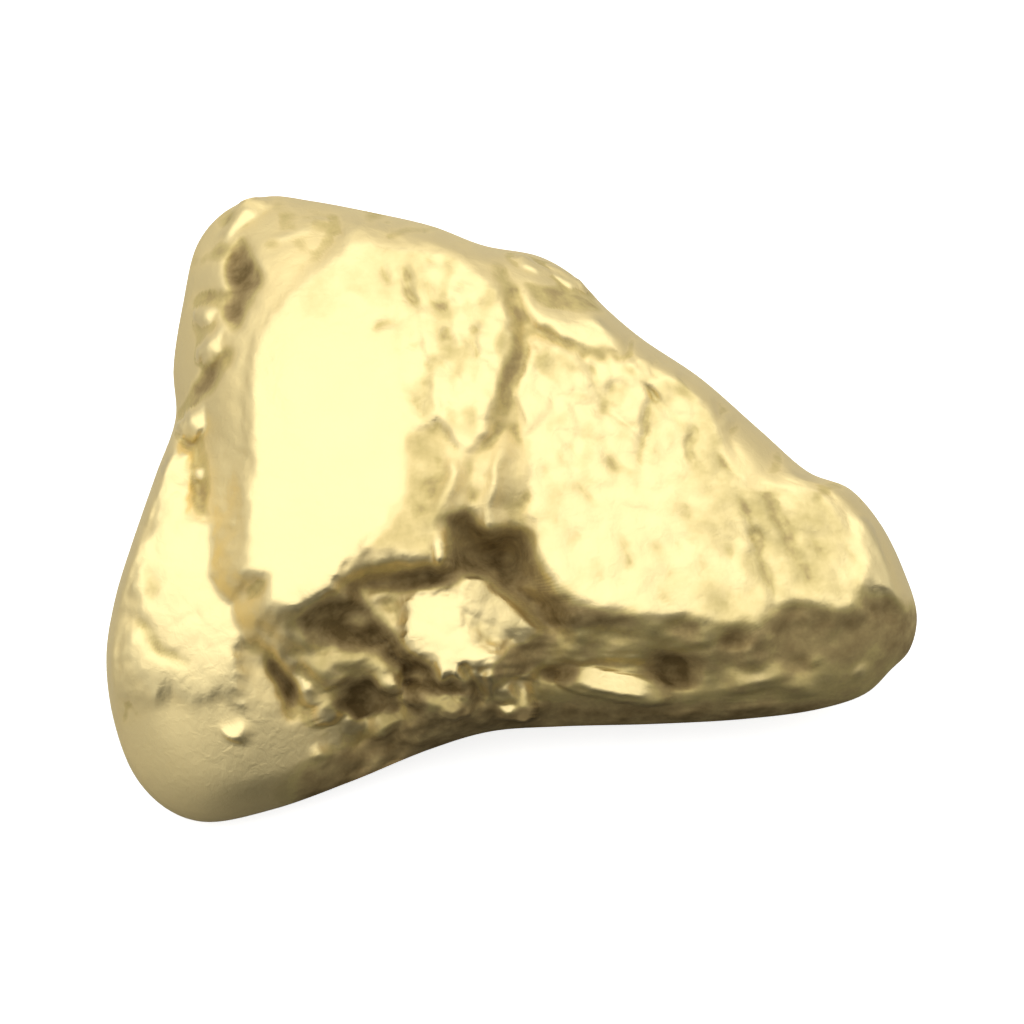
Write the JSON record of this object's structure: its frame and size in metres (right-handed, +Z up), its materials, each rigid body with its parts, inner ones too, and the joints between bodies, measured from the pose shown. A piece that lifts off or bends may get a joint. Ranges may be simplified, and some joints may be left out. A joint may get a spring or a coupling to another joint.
{
  "type": "gold nugget",
  "caption": "Irregular water-worn gold nugget: a wedge-shaped lump with flat worn faces, a cleft between them, a folded front and a rounded lobe.",
  "frame": {"origin": "middle of the box round the nugget, at the level of the flat worn base it rests on", "axes": "+X along the nugget's length towards its narrow tip, +Y towards the tall back, +Z up from the base; the show face looks to -Y and up"},
  "size_m": [0.0162, 0.0132, 0.0064],
  "materials": {
    "gold": "native gold, worn bright on the high faces, duller and browner in the hollows"
  },
  "bodies": {
    "root": {"nugget": "gold"}
  },
  "joints": []
}
